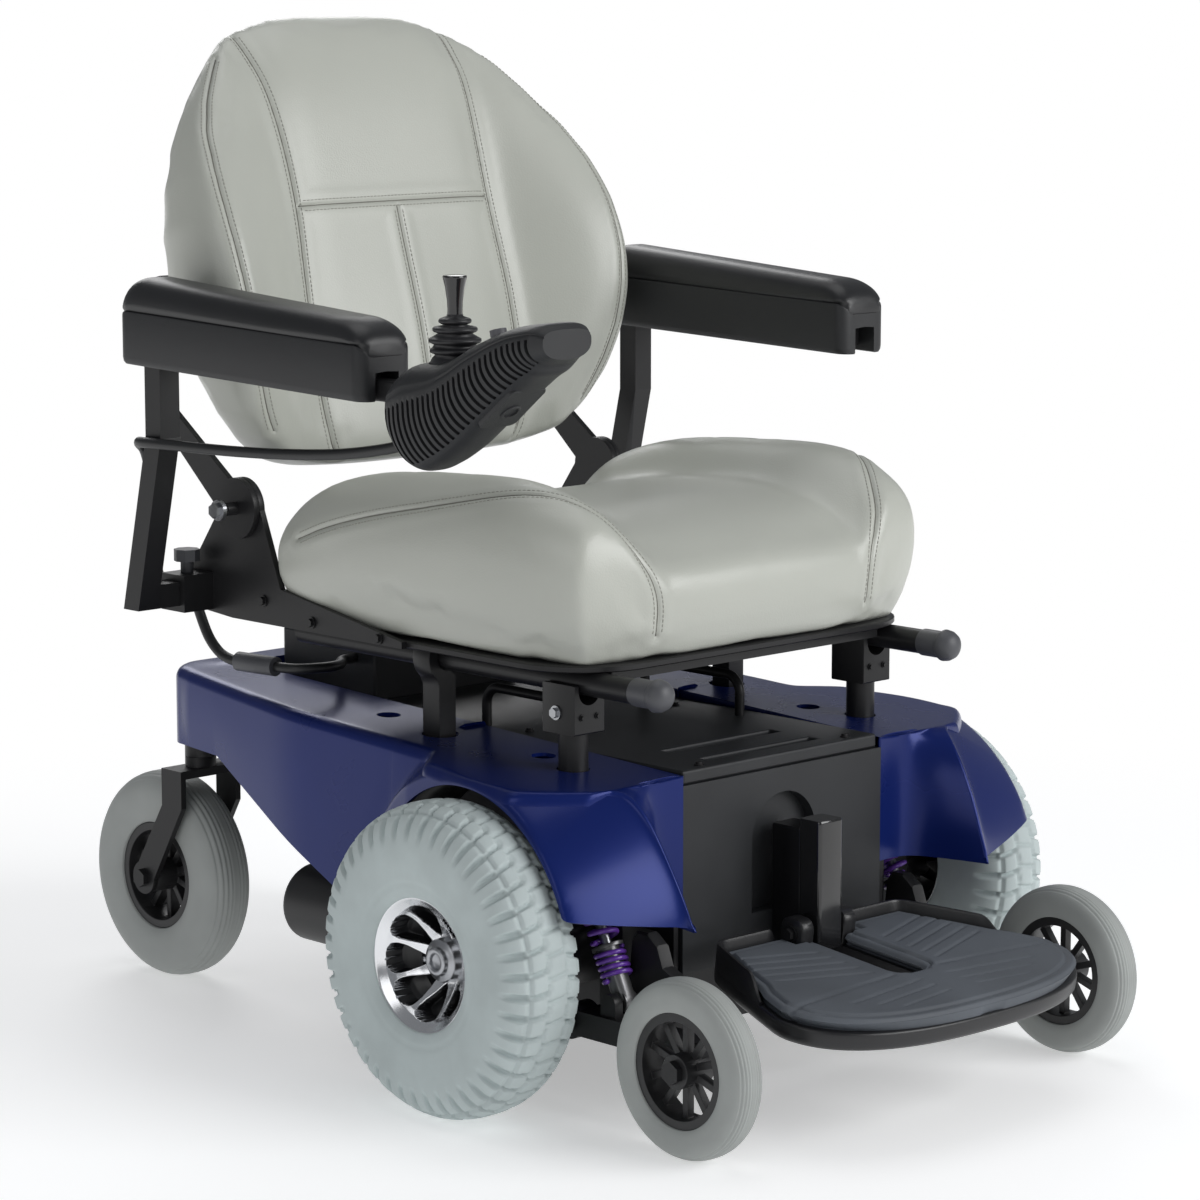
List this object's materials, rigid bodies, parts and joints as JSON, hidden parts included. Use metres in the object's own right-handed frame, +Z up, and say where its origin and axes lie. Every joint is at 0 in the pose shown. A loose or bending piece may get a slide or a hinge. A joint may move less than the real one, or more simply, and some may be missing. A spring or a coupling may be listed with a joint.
{
  "type": "power wheelchair",
  "caption": "All terrain power wheelchair: padded seat and backrest, flip-up armrests, joystick, drive wheels, rear casters, sprung front stabilisers and folding foot platform.",
  "frame": {"origin": "middle of the bounding box on the floor", "axes": "+Z up, -Y to the front of the chair, +X to the sitter's left"},
  "size_m": [0.674, 1.0038, 0.9275],
  "materials": {
    "frame_black": "satin black powder coat",
    "motor_black": "satin",
    "box_black": "fine texture",
    "battery_grey": "matt",
    "shroud_blue": "gloss metallic blue",
    "strut_steel": "satin",
    "spring_purple": "satin",
    "cap_grey": "satin",
    "vinyl_grey": "satin vinyl",
    "cable_black": "satin",
    "tyre_grey": "matt",
    "rim_alloy": "polished",
    "hub_black": "satin",
    "platform_black": "satin",
    "mat_rubber": "matt",
    "arm_charcoal": "fine texture",
    "pad_black": "satin skin",
    "boot_rubber": "matt",
    "button_red": "satin",
    "button_grey": "satin"
  },
  "bodies": {
    "base": {"chassis_frame": "frame_black", "caster_beam": "frame_black", "outriggers": "frame_black", "battery_box": "box_black", "battery_lid": "box_black", "batteries": "battery_grey", "lid_handles": "frame_black", "control_module": "box_black", "gear_motors": "motor_black", "shroud_right": "shroud_blue", "shroud_left": "shroud_blue", "seat_posts": "frame_black", "foot_post": "frame_black", "strut_rods": "strut_steel", "seat_rails": "frame_black", "rail_caps": "cap_grey", "seat_pan": "frame_black", "hinge_brackets": "frame_black", "receiver_knobs": "box_black", "seat_cushion": "vinyl_grey", "base_cable": "cable_black", "cable_connector": "cap_grey", "strut_spring_right": "spring_purple", "strut_spring_left": "spring_purple"},
    "drive_wheel_right": {"drive_tyre_right": "tyre_grey", "drive_rim_right": "rim_alloy"},
    "drive_wheel_left": {"drive_tyre_left": "tyre_grey", "drive_rim_left": "rim_alloy"},
    "caster_right": {"caster_fork_right": "frame_black"},
    "caster_left": {"caster_fork_left": "frame_black"},
    "caster_wheel_right": {"caster_tyre_right": "tyre_grey", "caster_hub_right": "hub_black"},
    "caster_wheel_left": {"caster_tyre_left": "tyre_grey", "caster_hub_left": "hub_black"},
    "stabiliser_right": {"antitip_arm_right": "frame_black"},
    "stabiliser_left": {"antitip_arm_left": "frame_black"},
    "stabiliser_wheel_right": {"antitip_tyre_right": "tyre_grey", "antitip_hub_right": "hub_black"},
    "stabiliser_wheel_left": {"antitip_tyre_left": "tyre_grey", "antitip_hub_left": "hub_black"},
    "damper_right": {"strut_damper_right": "strut_steel"},
    "damper_left": {"strut_damper_left": "strut_steel"},
    "foot_platform": {"foot_plate": "platform_black", "foot_mat": "mat_rubber"},
    "backrest": {"back_canes": "frame_black", "backrest_shell": "box_black", "backrest_cushion": "vinyl_grey"},
    "armrest_right": {"arm_frame_right": "frame_black", "arm_body_right": "arm_charcoal", "arm_pad_right": "pad_black", "controller_case": "arm_charcoal", "controller_cable": "cable_black"},
    "armrest_left": {"arm_frame_left": "frame_black", "arm_body_left": "arm_charcoal", "arm_pad_left": "pad_black"},
    "power_key": {"power_button": "button_red"},
    "horn_key": {"horn_button": "button_grey"},
    "stick_gimbal": {"joystick_gimbal": "strut_steel"},
    "stick": {"joystick_lever": "pad_black", "joystick_boot": "boot_rubber"}
  },
  "joints": [
    {"name": "drive_roll_right", "type": "hinge", "parent": "base", "child": "drive_wheel_right", "pos_m": [-0.296, -0.14914, 0.1365], "axis": [1, 0, 0], "continuous": true},
    {"name": "caster_swivel_right", "type": "hinge", "parent": "base", "child": "caster_right", "pos_m": [-0.164, 0.35586, 0.212], "axis": [0, 0, 1], "continuous": true},
    {"name": "caster_roll_right", "type": "hinge", "parent": "caster_right", "child": "caster_wheel_right", "pos_m": [-0.164, 0.40186, 0.1], "axis": [1, 0, 0], "continuous": true},
    {"name": "stabiliser_lift_right", "type": "hinge", "parent": "base", "child": "stabiliser_right", "pos_m": [-0.196, -0.20314, 0.076], "axis": [-1, 0, 0], "range_deg": [-3, 5], "stiffness_Nm_per_rad": 400},
    {"name": "stabiliser_roll_right", "type": "hinge", "parent": "stabiliser_right", "child": "stabiliser_wheel_right", "pos_m": [-0.24, -0.37914, 0.076], "axis": [1, 0, 0], "continuous": true},
    {"name": "damper_slide_right", "type": "slide", "parent": "base", "child": "damper_right", "axis": [0, 0.4472, 0.8944], "range_m": [-0.004, 0.006], "deforming": ["strut_spring_right"]},
    {"name": "armrest_flip_right", "type": "hinge", "parent": "base", "child": "armrest_right", "pos_m": [-0.297, 0.27086, 0.399], "axis": [-1, 0, 0], "range_deg": [0, 100]},
    {"name": "drive_roll_left", "type": "hinge", "parent": "base", "child": "drive_wheel_left", "pos_m": [0.296, -0.14914, 0.1365], "axis": [1, 0, 0], "continuous": true},
    {"name": "caster_swivel_left", "type": "hinge", "parent": "base", "child": "caster_left", "pos_m": [0.164, 0.35586, 0.212], "axis": [0, 0, 1], "continuous": true},
    {"name": "caster_roll_left", "type": "hinge", "parent": "caster_left", "child": "caster_wheel_left", "pos_m": [0.164, 0.40186, 0.1], "axis": [1, 0, 0], "continuous": true},
    {"name": "stabiliser_lift_left", "type": "hinge", "parent": "base", "child": "stabiliser_left", "pos_m": [0.196, -0.20314, 0.076], "axis": [-1, 0, 0], "range_deg": [-3, 5], "stiffness_Nm_per_rad": 400},
    {"name": "stabiliser_roll_left", "type": "hinge", "parent": "stabiliser_left", "child": "stabiliser_wheel_left", "pos_m": [0.24, -0.37914, 0.076], "axis": [1, 0, 0], "continuous": true},
    {"name": "damper_slide_left", "type": "slide", "parent": "base", "child": "damper_left", "axis": [0, 0.4472, 0.8944], "range_m": [-0.004, 0.006], "deforming": ["strut_spring_left"]},
    {"name": "armrest_flip_left", "type": "hinge", "parent": "base", "child": "armrest_left", "pos_m": [0.297, 0.27086, 0.399], "axis": [-1, 0, 0], "range_deg": [0, 100]},
    {"name": "platform_flip", "type": "hinge", "parent": "base", "child": "foot_platform", "pos_m": [0, -0.29914, 0.14], "axis": [-1, 0, 0], "range_deg": [0, 88]},
    {"name": "backrest_fold", "type": "hinge", "parent": "base", "child": "backrest", "pos_m": [0, 0.21286, 0.48], "axis": [1, 0, 0], "range_deg": [-15, 45]},
    {"name": "power_press", "type": "slide", "parent": "armrest_right", "child": "power_key", "axis": [0, -0.2754, -0.9613], "range_m": [0, 0.0015], "stiffness_N_per_m": 600},
    {"name": "horn_press", "type": "slide", "parent": "armrest_right", "child": "horn_key", "axis": [0, -0.2754, -0.9613], "range_m": [0, 0.0015], "stiffness_N_per_m": 600},
    {"name": "stick_pitch", "type": "hinge", "parent": "armrest_right", "child": "stick_gimbal", "pos_m": [-0.297, -0.16122, 0.63464], "axis": [1, 0, 0], "range_deg": [-15, 15], "stiffness_Nm_per_rad": 0.6},
    {"name": "stick_roll", "type": "hinge", "parent": "stick_gimbal", "child": "stick", "pos_m": [-0.297, -0.16122, 0.63464], "axis": [0, 1, 0], "range_deg": [-15, 15], "stiffness_Nm_per_rad": 0.6}
  ],
  "couplings": [
    {"joint": "damper_slide_right", "follows": "stabiliser_lift_right", "m_per_rad": 0.049193},
    {"joint": "damper_slide_left", "follows": "stabiliser_lift_left", "m_per_rad": 0.049193}
  ]
}
